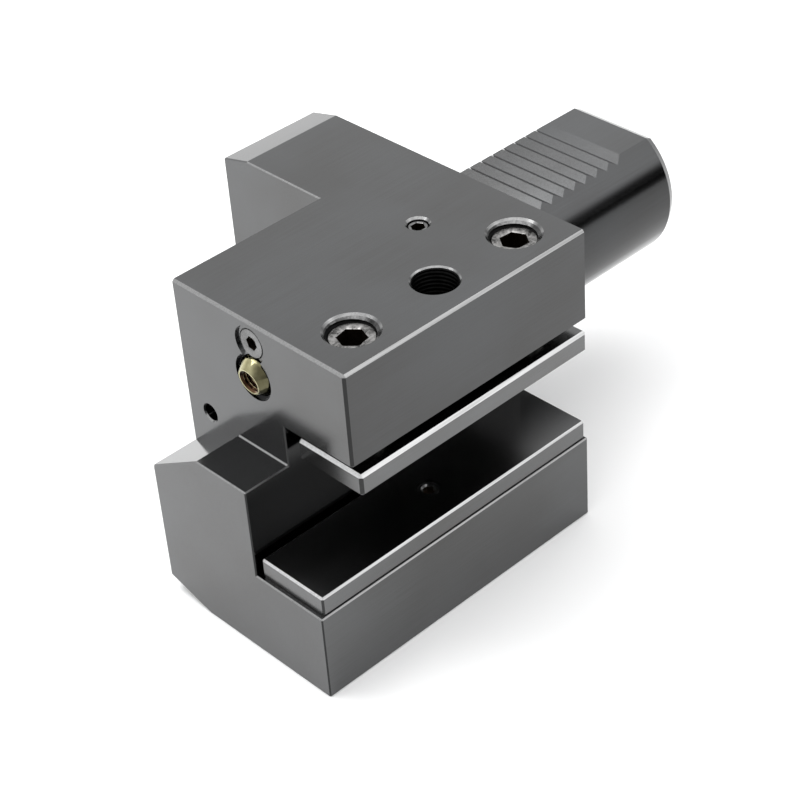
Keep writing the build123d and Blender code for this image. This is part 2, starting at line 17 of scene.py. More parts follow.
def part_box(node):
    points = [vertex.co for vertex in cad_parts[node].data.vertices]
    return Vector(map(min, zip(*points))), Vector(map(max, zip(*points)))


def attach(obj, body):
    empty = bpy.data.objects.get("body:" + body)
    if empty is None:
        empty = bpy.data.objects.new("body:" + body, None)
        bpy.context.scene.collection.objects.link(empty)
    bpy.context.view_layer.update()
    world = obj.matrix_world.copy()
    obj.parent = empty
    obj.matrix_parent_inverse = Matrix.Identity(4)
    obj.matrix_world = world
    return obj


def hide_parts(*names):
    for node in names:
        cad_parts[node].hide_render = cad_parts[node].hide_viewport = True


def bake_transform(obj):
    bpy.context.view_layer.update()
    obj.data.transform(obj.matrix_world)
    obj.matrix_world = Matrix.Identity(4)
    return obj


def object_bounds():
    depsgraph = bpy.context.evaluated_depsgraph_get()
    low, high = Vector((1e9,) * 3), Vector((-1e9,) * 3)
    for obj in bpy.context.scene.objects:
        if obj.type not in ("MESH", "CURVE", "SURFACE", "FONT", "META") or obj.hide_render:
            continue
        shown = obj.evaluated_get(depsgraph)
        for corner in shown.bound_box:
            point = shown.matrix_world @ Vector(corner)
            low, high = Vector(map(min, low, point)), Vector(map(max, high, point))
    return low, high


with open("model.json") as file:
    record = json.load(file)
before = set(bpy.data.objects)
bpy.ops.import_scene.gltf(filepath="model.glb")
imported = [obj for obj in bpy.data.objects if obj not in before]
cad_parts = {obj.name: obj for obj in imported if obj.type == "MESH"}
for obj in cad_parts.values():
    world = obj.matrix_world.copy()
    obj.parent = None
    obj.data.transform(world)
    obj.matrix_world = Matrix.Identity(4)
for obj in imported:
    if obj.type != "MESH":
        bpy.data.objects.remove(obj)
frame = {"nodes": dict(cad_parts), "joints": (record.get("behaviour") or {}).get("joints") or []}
cad_box = [list(corner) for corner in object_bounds()]

MM = 0.001

# A thread's radii, its pitch and the height that its turns are counted from
Thread = namedtuple("Thread", "wide narrow pitch datum")

# A hexagonal socket: half its width, its depth, the point below that, and its coned mouth
Socket = namedtuple("Socket", "half depth point cone mouth")

# Camera, as fitted to the photograph
CAMERA_PLACE = Vector((-0.2918, -0.3112, 0.2811))
CAMERA_BACK = Vector((-0.5316, -0.6015, 0.5963))
CAMERA_RIGHT = Vector((0.7161, -0.6952, -0.0627))
CAMERA_LENS = 95.0
SENSOR_WIDTH = 36.0
CLIP_START = 0.01
CLIP_END = 50.0

# Turned pieces. The sizes of pieces from here on are in millimetres
SEGMENTS = 96
SHARP_ANGLE = math.radians(32)
HEXAGON_SECTOR = math.tau / 6
HEXAGON_RATIO = math.cos(HEXAGON_SECTOR / 2)
SOCKET_BANDS = 2

# Threads: share of a pitch that is flat at each radius, rows of points in a pitch and a cone
THREAD_FLAT = 0.14
THREAD_ROWS = 10
CONE_ROWS = 16
CONE_SEAM = 0.03
THREAD_DATUM = 9.0

# Clamping screws
CLAMP_PITCH = 1.75
SCREW_THREAD = Thread(wide=5.84, narrow=5.12, pitch=CLAMP_PITCH, datum=THREAD_DATUM)
SCREW_SOCKET = Socket(half=3.0, depth=8.0, point=0.8, cone=0.2, mouth=3.55)
SCREW_FACE_RADIUS = 5.0
SCREW_POINT_RADIUS = 4.4
SCREW_RIM = 0.3
SCREW_DISH = 0.02
FRONT_HEX_TURN = math.radians(11)
REAR_HEX_TURN = math.radians(-5)

# Clamping holes and the middle bore
HOLE_THREAD = Thread(wide=5.97, narrow=5.28, pitch=CLAMP_PITCH, datum=THREAD_DATUM)
HOLE_RADIUS = 6.0
HOLE_FLOOR = 9.0
HOLE_COUNTERSINK = 0.5
BORE_THREAD = Thread(wide=5.33, narrow=5.1, pitch=1.0, datum=THREAD_DATUM)
BORE_RADIUS = 5.35
BORE_FLOOR = 13.0
BORE_COUNTERSINK = 0.35
SLEEVE_LIFT = 0.05
SLEEVE_WALL = 0.15
SLEEVE_STEP = 0.02

# Spring round the lifting screw
SPRING_WIRE = 1.0
SPRING_TURNS = 3.5
SPRING_STEPS = 48
SPRING_SIDES = 12

# Screw in the base plate
BASE_SOCKET = Socket(half=1.25, depth=1.3, point=0.3, cone=0.35, mouth=1.8)
BASE_HEAD_RADIUS = 2.75
BASE_HEAD_HEIGHT = 3.0
BASE_HEAD_EDGE = 0.45
BASE_EDGE_STEPS = 8
BASE_THREAD_RADIUS = 1.45
BASE_END_CHAMFER = 0.3

# Plug of the small hole in the top face
PLUG_SOCKET = Socket(half=1.5, depth=4.0, point=0.6, cone=0.12, mouth=1.5 / HEXAGON_RATIO + 0.05)
PLUG_RADIUS = 2.45
PLUG_CHAMFER = 0.3
PLUG_LENGTH = 8.0

# Lock screw beside the nozzle
LOCK_SOCKET = Socket(half=1.5, depth=1.6, point=0.4, cone=0.1, mouth=1.5 / HEXAGON_RATIO + 0.04)
LOCK_THREAD_RADIUS = 2.45
LOCK_END_CHAMFER = 0.4
LOCK_RIM_GAP = 0.3
LOCK_RIM_EDGE = 0.05
LOCK_HEX_TURN = math.radians(-9)

# Ball nozzle, along its outlet from the ball's centre
NOZZLE_TILT = math.radians(8)
COLLAR_FOOT_RADIUS = 4.75
COLLAR_RADIUS = 3.4
COLLAR_REACH = 3.6
COLLAR_EDGE = 0.18
BALL_STEPS = 40
JET_RADIUS = 1.25
OUTLET_FLOOR = -1.0
OUTLET_THREAD = Thread(wide=2.75, narrow=2.35, pitch=0.9, datum=OUTLET_FLOOR)
OUTLET_MOUTH_RADIUS = 2.9
OUTLET_MOUTH_EDGE = 0.05
OUTLET_ROWS = 60
OUTLET_CREST_SEAM = 0.05

# Seal rings
SEAL_SIDES = 24

# Strip in the corner between the ledge and the block
BLOCK_FRONT = -72.5
LEDGE_HEIGHT = -1.5
LEDGE_SIDES = (-24.8, -8.7)
CORNER_LEG = 0.32

# Places on the body that its finish and its painted shade follow, in metres
SLOT_WALL_SIDE = -0.0255
SLOT_FLOOR_HEIGHT = -0.0295
HEAD_END = 0.0005
LOW_SIDE_HEIGHTS = (-0.03, -0.005)

# Painted shade: how much darker these faces and edges are than the rest
PAINTED_WALL_SHADE = 0.5
PAINTED_FLOOR_SHADE = 0.9
PAINTED_SIDE_SHADE = 0.34
PAINTED_LOW_SIDE_SHADE = 0.05
PAINTED_UPRIGHT_SHADE = 0.72
PAINTED_BRASS_SHADE = 0.72

# Share of the bright edge colour, in part a painted highlight, that front edges and the two ends of a
# hole's rim keep
FRONT_EDGE_HIGHLIGHT = 0.85
RIM_END_HIGHLIGHT = 0.15

# Parts of a surface's normal that tell faces and edges apart
FACE_LIMIT = 0.9
SIDE_RANGE = (0.90, 0.98)
BROKEN_RANGE = (0.83, 0.74)
SLOPE_RANGE = (0.3, 0.5)
UPRIGHT_RANGE = (0.45, 0.60)
FRONT_EDGE_RANGE = (-0.68, -0.60)
RIM_END_RANGE = (0.56, 0.67)
OILED_PAINTED_SHADE_RANGE = (0.2, 0.62)
BRASS_SIDE_RANGE = (-0.5, -0.1)
DIAGONAL = (0.716, -0.695, -0.06)

# Ground steel: how its grain and smears are drawn out, and what its tone is made of
GRAIN_STRETCH = (40.0, 2600.0, 2600.0)
SMEAR_STRETCH = (18.0, 60.0, 140.0)
CLOUD_SHARE = 0.22
GRAIN_SHARE = 0.16
TONE_RANGE = (0.10, 0.28)
DARK_GRAIN = 0.9
DARK_TINT = 0.01
LIGHT_GRAIN = 1.12
LIGHT_TINT = -0.02
WORN_GRAIN = (0.25, 0.6, 0.6, 1.0)
SMEAR_SPREAD = 0.12
EDGE_ROUGHNESS = 0.12

# Depth of every finish's relief, in millimetres
BUMP_DEPTH = 0.02

# Oiled and black steel, brass and rubber
OILED_SPREAD = 0.2
SPOT_SHARE = 0.6
STAIN_RANGE = (0.38, 0.6)
BLACK_WEAR = 0.6
BLACK_EDGE = 4
BLACK_TINT = 0.02
RING_STRETCH = (4200.0, 300.0, 300.0)
FILM_RANGE = (0.35, 0.65)
BRASS_ROUGHNESS = 0.13
BRASS_SPREAD = 0.14
SKIN_RANGE = (0.3, 0.7)
RUBBER_GREYS = (0.012, 0.024)
RUBBER_ROUGHNESS = 0.5
RUBBER_SPREAD = 0.2

# Surroundings: directions, the ranges over which greys change, and the greys
DARK_SIDE = (0.54, -0.84, 0.1)
DARK_RANGE = (0.15, 0.75)
BRIGHT_SIDE = (0.53, 0.81, 0.24)
BRIGHT_RANGE = (0.45, 0.9)
SKY_RANGE = (0.20, 0.37)
ZENITH_RANGE = (0.76, 0.97)
HORIZON_GREY = 0.95
DARK_GREY = 0.03
BRIGHT_GREY = 1.8
SKY_GREY = 1.10
SKY_TINT = -0.005
ZENITH_GREY = 2.5

# Softboxes
RIGHT_BOX_PLACE = Vector((0.176, -0.286, 0.273))
RIGHT_BOX_AIM = Vector((-0.036, -0.046, 0.0))
LEFT_BOX_PLACE = Vector((-0.24, 0.28, 0.62))
LEFT_BOX_AIM = Vector((-0.10, 0.08, 0.0))

# Floor
FLOOR_HALF = 3.0
FLOOR_GREYS = (0.86, 0.89)
FLOOR_ROUGHNESS = 0.7
FLOOR_SPECULAR = 0.2


def millimetres(corner):
    """A corner of the frame in millimetres."""
    return Vector(corner) / MM


def box_of(node):
    """Lowest and highest corner of a node, in millimetres."""
    return [millimetres(corner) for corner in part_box(node)]


def center_of(node):
    """Middle of a node's box, in millimetres."""
    low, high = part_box(node)
    return millimetres((low + high) / 2)


def top_of(node):
    """Height of a node's highest point, in millimetres."""
    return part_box(node)[1].z / MM


def bottom_of(node):
    """Height of a node's lowest point, in millimetres."""
    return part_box(node)[0].z / MM


def joint_place(name):
    """Place of a joint, in millimetres."""
    joint = next(joint for joint in frame["joints"] if joint["name"] == name)
    return millimetres(joint["pos_m"])


class Tree:
    """A node tree that is filled by short calls."""

    def __init__(self, tree):
        self.nodes = tree.nodes
        self.links = tree.links
        self.nodes.clear()

    def add(self, kind, inputs=None, **settings):
        """A node with its settings and its linked or constant inputs."""
        node = self.nodes.new(kind)
        for name, value in settings.items():
            setattr(node, name, value)
        for name, value in (inputs or {}).items():
            if isinstance(value, bpy.types.NodeSocket):
                self.links.new(value, node.inputs[name])
            else:
                node.inputs[name].default_value = value
        return node

    def math(self, operation, first, second=0.0):
        """The result of a sum on one or two values."""
        return self.add("ShaderNodeMath", {0: first, 1: second}, operation=operation).outputs[0]

    def times(self, first, second):
        """The product of two values."""
        return self.math("MULTIPLY", first, second)

    def varied(self, noise, middle, spread):
        """A value that a noise varies about a middle."""
        return self.math("ADD", self.times(noise, spread), middle - spread / 2)

    def parts(self, vector):
        """The X, Y and Z parts of a vector."""
        return self.add("ShaderNodeSeparateXYZ", {"Vector": vector}).outputs

    def ramp(self, value, low, high, start=0.0, end=1.0):
        """A smooth step of value from low to high."""
        node = self.add(
            "ShaderNodeMapRange",
            {"Value": value, "From Min": low, "From Max": high, "To Min": start, "To Max": end},
            interpolation_type="SMOOTHSTEP",
        )
        return node.outputs["Result"]

    def noise(self, place, scale, detail, roughness):
        """Grey noise at a place."""
        node = self.add(
            "ShaderNodeTexNoise",
            {"Vector": place, "Scale": scale, "Detail": detail, "Roughness": roughness},
        )
        return node.outputs["Fac"]

    def stretched(self, place, factors):
        """The place with each axis scaled by its factor."""
        node = self.add("ShaderNodeMapping", {"Vector": place, "Scale": factors})
        return node.outputs["Vector"]

    def mix(self, share, first, second):
        """A colour between two colours."""
        node = self.add(
            "ShaderNodeMix", {"Factor": share, "A": first, "B": second}, data_type="RGBA"
        )
        return node.outputs["Result"]

    def darkened(self, color, share):
        """A colour that is darker by a share."""
        return self.mix(share, color, grey(0.0))


def new_material(name):
    """An empty material with its node tree."""
    material = bpy.data.materials.new(name)
    material.use_nodes = True
    return material, Tree(material.node_tree)


def grey(value, warm=0.0):
    """A grey colour, a little warm or cool."""
    return (value * (1 + warm), value, value * (1 - warm), 1.0)


def facing(tree, way, direction):
    """How far a direction agrees with another."""
    node = tree.add(
        "ShaderNodeVectorMath", {0: way, 1: Vector(direction).normalized()}, operation="DOT_PRODUCT"
    )
    return node.outputs["Value"]


def diagonal(tree, normal):
    """How far a surface faces along the holder's level diagonal, from -1 to 1."""
    return facing(tree, normal, DIAGONAL)


def oblique(tree, normal):
    """One on broken edges that slope at 45 degrees, zero on faces and upright edges."""
    sizes = [tree.math("ABSOLUTE", part) for part in tree.parts(normal)]
    largest = tree.math("MAXIMUM", tree.math("MAXIMUM", sizes[0], sizes[1]), sizes[2])
    return tree.times(tree.ramp(largest, *BROKEN_RANGE), tree.ramp(sizes[2], *SLOPE_RANGE))


def upright_edges(tree, normal):
    """One on broken upright edges, zero elsewhere; ground steel darkens them with painted shade."""
    parts = tree.parts(normal)
    sizes = [tree.math("ABSOLUTE", parts[name]) for name in ("X", "Y")]
    return tree.ramp(tree.math("MINIMUM", *sizes), *UPRIGHT_RANGE)


def painted_edge_highlight(tree, normal):
    """Share of the bright edge colour on the body's edges, graded as painted highlight: less on front
    edges and on the ends of a rim.
    """
    front = tree.ramp(tree.parts(normal)["X"], *FRONT_EDGE_RANGE, FRONT_EDGE_HIGHLIGHT, 1.0)
    aside = tree.math("ABSOLUTE", diagonal(tree, normal))
    return tree.times(front, tree.ramp(aside, *RIM_END_RANGE, 1.0, RIM_END_HIGHLIGHT))


def painted_slot_shade(tree, place):
    """Painted shade: how much darker the slot's upright wall and its floor are than other faces."""
    spot, way = tree.parts(place["Object"]), tree.parts(place["Normal"])
    inside = tree.math("GREATER_THAN", spot["Y"], SLOT_WALL_SIDE)
    low = tree.math("LESS_THAN", spot["Z"], SLOT_FLOOR_HEIGHT)
    wall = tree.times(tree.math("LESS_THAN", way["Y"], -FACE_LIMIT), inside)
    floor = tree.times(tree.math("GREATER_THAN", way["Z"], FACE_LIMIT), low)
    return tree.math("MAXIMUM", tree.times(wall, PAINTED_WALL_SHADE), tree.times(floor, PAINTED_FLOOR_SHADE))


def painted_side_shade(tree, place):
    """Painted shade: how much darker side faces are than front and top ones, less so low down."""
    across = tree.math("ABSOLUTE", tree.parts(place["Normal"])["Y"])
    height = tree.parts(place["Object"])["Z"]
    strength = tree.ramp(height, *LOW_SIDE_HEIGHTS, PAINTED_LOW_SIDE_SHADE, PAINTED_SIDE_SHADE)
    return tree.times(tree.ramp(across, *SIDE_RANGE), strength)


def finish_shader(tree, color, roughness, relief, bump, metallic=1.0):
    """The surface shader with its bump, joined to the output."""
    bumped = tree.add(
        "ShaderNodeBump", {"Height": relief, "Strength": bump, "Distance": BUMP_DEPTH * MM}
    )
    inputs = {
        "Base Color": color,
        "Roughness": roughness,
        "Metallic": metallic,
        "Normal": bumped.outputs["Normal"],
    }
    shader = tree.add("ShaderNodeBsdfPrincipled", inputs)
    tree.add("ShaderNodeOutputMaterial", {"Surface": shader.outputs["BSDF"]})


def ground_steel(name, base, edge_base, roughness, body=False):
    """Dark hardened steel, finely ground along X, with bright broken edges, partly wear and
    partly painted highlight, and painted shade on its upright edges.

    On the body, edges behind the head aren't bright, front edges and the two ends of a
    hole's rim get less painted highlight, and the slot and the head's sides get painted shade.
    """
    material, tree = new_material(name)
    place = tree.add("ShaderNodeTexCoord").outputs
    spot, normal = place["Object"], place["Normal"]
    grain = tree.noise(tree.stretched(spot, GRAIN_STRETCH), scale=1.0, detail=4.0, roughness=0.6)
    smear = tree.noise(tree.stretched(spot, SMEAR_STRETCH), scale=1.0, detail=4.0, roughness=0.6)
    cloud = tree.noise(spot, scale=34.0, detail=3.0, roughness=0.5)
    tone = tree.math("ADD", tree.times(cloud, CLOUD_SHARE), tree.times(grain, GRAIN_SHARE))
    dark, light = grey(base * DARK_GRAIN, DARK_TINT), grey(base * LIGHT_GRAIN, LIGHT_TINT)
    face = tree.mix(tree.ramp(tone, *TONE_RANGE), dark, light)
    edge = oblique(tree, normal)
    # Painted shade darkens the broken upright edges
    upright_edge_shade = tree.times(upright_edges(tree, normal), PAINTED_UPRIGHT_SHADE)
    if body:
        on_head = tree.math("LESS_THAN", tree.parts(spot)["X"], HEAD_END)
        # Painted highlight on edges is weaker on front edges and at the ends of a rim
        edge = tree.times(tree.times(edge, on_head), painted_edge_highlight(tree, normal))
        upright_edge_shade = tree.times(upright_edge_shade, on_head)
        # Painted shade on the head's side faces
        face = tree.darkened(face, tree.times(painted_side_shade(tree, place), on_head))
        # Painted shade on the slot's upright wall and floor
        face = tree.darkened(face, painted_slot_shade(tree, place))
    face = tree.darkened(face, upright_edge_shade)
    # Bright edge colour: partly wear, partly painted highlight
    wear = tree.times(edge, tree.ramp(grain, *WORN_GRAIN))
    color = tree.mix(wear, face, grey(edge_base))
    rough = tree.varied(smear, roughness, SMEAR_SPREAD)
    rough = tree.math("ADD", rough, tree.times(edge, EDGE_ROUGHNESS))
    finish_shader(tree, color, rough, grain, bump=0.12)
    return material


def oiled_steel(name, base, roughness, mottle, warm=0.0, coarse=1.0, painted_aside_shade=0.0):
    """Bright steel of screws with dark oily mottling, and, where asked, painted shade on its sides."""
    material, tree = new_material(name)
    place = tree.add("ShaderNodeTexCoord").outputs
    spots = tree.noise(place["Object"], scale=1500.0 / coarse, detail=5.0, roughness=0.75)
    film = tree.noise(place["Object"], scale=380.0 / coarse, detail=3.0, roughness=0.5)
    stain = tree.math("ADD", tree.times(spots, SPOT_SHARE), tree.times(film, 1 - SPOT_SHARE))
    dark, light = grey(base * mottle, warm * 2), grey(base, warm)
    color = tree.mix(tree.ramp(stain, *STAIN_RANGE), dark, light)
    # Painted shade on the sides that face along the diagonal
    if painted_aside_shade:
        aside = tree.math("ABSOLUTE", diagonal(tree, place["Normal"]))
        color = tree.darkened(color, tree.ramp(aside, *OILED_PAINTED_SHADE_RANGE, 0.0, painted_aside_shade))
    finish_shader(tree, color, tree.varied(spots, roughness, OILED_SPREAD), spots, bump=0.35)
    return material


def black_oxide(name, base, roughness):
    """Blackened steel, a little worn at its edges."""
    material, tree = new_material(name)
    place = tree.add("ShaderNodeTexCoord").outputs
    spots = tree.noise(place["Object"], scale=1200.0, detail=4.0, roughness=0.6)
    wear = tree.times(oblique(tree, place["Normal"]), BLACK_WEAR)
    color = tree.mix(wear, grey(base, BLACK_TINT), grey(base * BLACK_EDGE))
    finish_shader(tree, color, tree.varied(spots, roughness, OILED_SPREAD), spots, bump=0.25)
    return material


def turned_brass(name, dark, light):
    """Brass between two colours, with turning marks and painted shade on its right side."""
    material, tree = new_material(name)
    place = tree.add("ShaderNodeTexCoord").outputs
    film = tree.noise(place["Object"], scale=420.0, detail=3.0, roughness=0.5)
    marks = tree.stretched(place["Object"], RING_STRETCH)
    rings = tree.noise(marks, scale=1.0, detail=2.0, roughness=0.5)
    color = tree.mix(tree.ramp(film, *FILM_RANGE), dark, light)
    # Painted shade on the right side
    aside = diagonal(tree, place["Normal"])
    color = tree.darkened(color, tree.ramp(aside, *BRASS_SIDE_RANGE, 0.0, PAINTED_BRASS_SHADE))
    rough = tree.varied(rings, BRASS_ROUGHNESS, BRASS_SPREAD)
    finish_shader(tree, color, rough, rings, bump=0.12)
    return material


def rubber(name):
    """Black nitrile rubber with a fine skin."""
    material, tree = new_material(name)
    place = tree.add("ShaderNodeTexCoord").outputs
    skin = tree.noise(place["Object"], scale=1800.0, detail=3.0, roughness=0.6)
    color = tree.mix(tree.ramp(skin, *SKIN_RANGE), *(grey(value) for value in RUBBER_GREYS))
    rough = tree.varied(skin, RUBBER_ROUGHNESS, RUBBER_SPREAD)
    finish_shader(tree, color, rough, skin, bump=0.3, metallic=0.0)
    return material


def point_loop(mesh, height, reach_at, turn=0.0):
    """A loop of points at a height, each as far out as reach_at says for its angle."""
    loop = []
    for step in range(SEGMENTS):
        angle = math.tau * step / SEGMENTS
        reach = reach_at(angle)
        spot = (reach * math.cos(angle + turn), reach * math.sin(angle + turn), height)
        loop.append(mesh.verts.new(spot))
    return loop


def ring_loop(mesh, ring, turn=0.0):
    """The loop of a ring (radius, height), or of a hexagon (half width, height, "hex").

    A ring with a radius of zero is a single point.
    """
    radius, height, *shape = ring
    if radius == 0:
        return [mesh.verts.new((0, 0, height))]

    def reach(angle):
        if "hex" in shape:
            return radius / math.cos(angle % HEXAGON_SECTOR - HEXAGON_SECTOR / 2)
        return radius

    return point_loop(mesh, height, reach, turn)


def join_loops(mesh, low, high, part=0):
    """Faces between two loops, either of which may be a point, in material number part."""
    count = max(len(low), len(high))
    for step in range(count):
        after = (step + 1) % count
        if len(low) == 1:
            corners = (low[0], high[after], high[step])
        elif len(high) == 1:
            corners = (low[step], low[after], high[0])
        else:
            corners = (low[step], low[after], high[after], high[step])
        mesh.faces.new(corners).material_index = part


def add_rings(mesh, loop, rings, turn=0.0, part=0):
    """Continues a wall from a loop through more rings, and returns its last loop."""
    for ring in rings:
        after = ring_loop(mesh, ring, turn)
        join_loops(mesh, loop, after, part)
        loop = after
    return loop


def lathe(name, rings, place, closed=False, socket_bands=0):
    """A turned piece from rings, whose last ring joins the first where it is closed.

    Its first socket_bands bands get the second material, the socket's painted shade.
    """
    mesh = bmesh.new()
    loops = [ring_loop(mesh, ring) for ring in rings]
    pairs = list(zip(loops, loops[1:]))
    if closed:
        pairs.append((loops[-1], loops[0]))
    for band, (low, high) in enumerate(pairs):
        join_loops(mesh, low, high, int(band < socket_bands))
    return finish_mesh(name, mesh, place)


def finish_mesh(name, mesh, place):
    """An object from a mesh in millimetres, smooth but for its sharp edges."""
    bmesh.ops.recalc_face_normals(mesh, faces=mesh.faces)
    data = bpy.data.meshes.new(name)
    mesh.to_mesh(data)
    mesh.free()
    data.transform(Matrix.Scale(MM, 4) @ place)
    piece = bpy.data.objects.new(name, data)
    bpy.context.scene.collection.objects.link(piece)
    data.shade_smooth()
    data.set_sharp_from_angle(angle=SHARP_ANGLE)
    return piece


def dress(piece, body, materials, replaced=()):
    """Gives a new piece its body and materials, and hides the nodes it stands for."""
    for material in materials:
        piece.data.materials.append(material)
    if replaced:
        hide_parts(*replaced)
    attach(piece, body)


def paint(node, material):
    """Gives a carried-over node its material."""
    data = frame["nodes"][node].data
    data.materials.clear()
    data.materials.append(material)


def upright(center):
    """Place of a piece whose axis is +Z and whose heights are the frame's."""
    return Matrix.Translation((center.x, center.y, 0))


def pointed(spot, axis):
    """Place of a piece with its zero at a spot and its axis along a direction."""
    return Matrix.Translation(spot) @ axis.to_track_quat("Z", "Y").to_matrix().to_4x4()


def even_steps(low, high, count):
    """Values that cut a stretch into a count of equal steps."""
    return [low + (high - low) * index / count for index in range(count + 1)]


def arc_rings(radius, height, size, start, end, steps):
    """Rings along an arc of a size about (radius, height), at angles from the axis."""
    angles = even_steps(start, end, steps)
    return [(radius + size * math.sin(angle), height + size * math.cos(angle)) for angle in angles]


def thread_rows(low, high, thread):
    """How many rows of points a thread has between two heights."""
    return int(round((high - low) / thread.pitch * THREAD_ROWS))


def thread_share(phase):
    """Share of the thread's depth at a phase of one pitch: flat, flank, flat, flank."""
    fold = abs((phase % 1.0) * 2 - 1)
    return min(max((fold - THREAD_FLAT) / (1 - 2 * THREAD_FLAT), 0.0), 1.0)


def thread_radius(thread, angle, height):
    """Radius of a right-handed thread's wall at an angle and a height."""
    phase = (height - thread.datum) / thread.pitch - angle / math.tau
    return thread.wide + (thread.narrow - thread.wide) * thread_share(phase)


def threaded_wall(mesh, heights, radius):
    """Adds a wall with a radius at each angle and height, and returns its end loops."""
    loops = [point_loop(mesh, height, lambda angle: radius(angle, height)) for height in heights]
    for low, high in zip(loops, loops[1:]):
        join_loops(mesh, low, high)
    return loops[0], loops[-1]


def socket_rings(socket, top):
    """Rings of a hexagonal socket, from its point up to the edge of its mouth."""
    return [
        (0, top - socket.depth - socket.point),
        (socket.half, top - socket.depth, "hex"),
        (socket.half, top - socket.cone, "hex"),
        (socket.mouth, top),
    ]


def end_rings(radius, chamfer, bottom):
    """Rings of a screw's chamfered end."""
    return [(radius, bottom + chamfer), (radius - chamfer, bottom), (0, bottom)]


def clamp_screw(node, body, materials, turn):
    """Threaded set screw with chamfered ends and a hexagonal socket at an angle."""
    top, bottom = top_of(node), bottom_of(node)
    rows = thread_rows(bottom, top, SCREW_THREAD)

    def radius(angle, height):
        cone = SCREW_FACE_RADIUS + (top - height)
        point = SCREW_POINT_RADIUS + (height - bottom)
        return min(thread_radius(SCREW_THREAD, angle, height), cone, point)

    mesh = bmesh.new()
    first, last = threaded_wall(mesh, even_steps(bottom, top, rows), radius)
    join_loops(mesh, [mesh.verts.new((0, 0, bottom))], first)
    face = [(SCREW_FACE_RADIUS - SCREW_RIM, top), (SCREW_SOCKET.mouth, top - SCREW_DISH)]
    point, floor, wall = socket_rings(SCREW_SOCKET, top)[:3]
    mouth = add_rings(mesh, last, [*face, wall], turn)
    # The socket's floor and point get the second material, painted shade
    add_rings(mesh, mouth, [floor, point], turn, part=1)
    dress(finish_mesh(node + "_threaded", mesh, upright(center_of(node))), body, materials, [node])


def thread_sleeve(name, center, low, high, mouth, thread, materials):
    """Inside thread of a hole, as a thin closed sleeve in its wall, up to the mouth's radius.

    A cone above the thread has the second material, and the thread runs out through it.
    """
    cone_floor = high - (mouth - thread.narrow)
    heights = even_steps(low, cone_floor, thread_rows(low, cone_floor, thread))[:-1]
    heights += even_steps(cone_floor, high, CONE_ROWS)

    def radius(angle, height):
        ends = max(mouth - (height - low), mouth - (high - height))
        return min(max(thread_radius(thread, angle, height), ends), mouth)

    mesh = bmesh.new()
    first, last = threaded_wall(mesh, heights, radius)
    for face in mesh.faces:
        spot = face.calc_center_median()
        cone = mouth - (high - spot.z)
        on_cone = spot.z > cone_floor and math.hypot(spot.x, spot.y) < cone + CONE_SEAM
        face.material_index = int(on_cone)
    outside = [(mouth + SLEEVE_WALL, high - SLEEVE_STEP), (mouth + SLEEVE_WALL, low + SLEEVE_STEP)]
    join_loops(mesh, add_rings(mesh, last, outside), first)
    dress(finish_mesh(name, mesh, upright(center)), "holder", materials)


def channel_plug(node, body, materials):
    """Headless screw in the small hole of the top face, with its socket up."""
    middle = center_of(node)
    rings = socket_rings(PLUG_SOCKET, 0)
    rings += [(PLUG_RADIUS - PLUG_CHAMFER, 0), (PLUG_RADIUS, -PLUG_CHAMFER)]
    rings += end_rings(PLUG_RADIUS, PLUG_CHAMFER, -PLUG_LENGTH)
    place = pointed(Vector((middle.x, middle.y, top_of(node))), Vector((0, 0, 1)))
    piece = lathe(node + "_detailed", rings, place, socket_bands=SOCKET_BANDS)
    dress(piece, body, materials, [node])


def countersunk_screw(node, body, materials):
    """The lock screw beside the nozzle, with a finely turned head edge."""
    low, high = box_of(node)
    middle = (low + high) / 2
    head = (high.y - low.y) / 2
    rings = socket_rings(LOCK_SOCKET, 0)
    rings += [
        (head - LOCK_RIM_GAP, 0),
        (head - LOCK_RIM_GAP + LOCK_RIM_EDGE, -LOCK_RIM_GAP),
        (LOCK_THREAD_RADIUS, LOCK_THREAD_RADIUS - head),
    ]
    rings += end_rings(LOCK_THREAD_RADIUS, LOCK_END_CHAMFER, low.x - high.x)
    place = pointed(Vector((low.x, middle.y, middle.z)), Vector((-1, 0, 0)))
    place = place @ Matrix.Rotation(LOCK_HEX_TURN, 4, "Z")
    piece = lathe(node + "_detailed", rings, place, socket_bands=SOCKET_BANDS)
    dress(piece, body, materials, [node])


def base_screw(node, body, materials):
    """The base plate's screw, with a rounded head edge and a coned socket mouth."""
    top = top_of(node)
    edge_radius, edge_height = BASE_HEAD_RADIUS - BASE_HEAD_EDGE, top - BASE_HEAD_EDGE
    rings = socket_rings(BASE_SOCKET, top)
    rings += arc_rings(edge_radius, edge_height, BASE_HEAD_EDGE, 0, math.pi / 2, BASE_EDGE_STEPS)
    rings += [(BASE_HEAD_RADIUS, top - BASE_HEAD_HEIGHT), (BASE_THREAD_RADIUS, top - BASE_HEAD_HEIGHT)]
    rings += end_rings(BASE_THREAD_RADIUS, BASE_END_CHAMFER, bottom_of(node))
    piece = lathe(node + "_detailed", rings, upright(center_of(node)), socket_bands=SOCKET_BANDS)
    dress(piece, body, materials, [node])


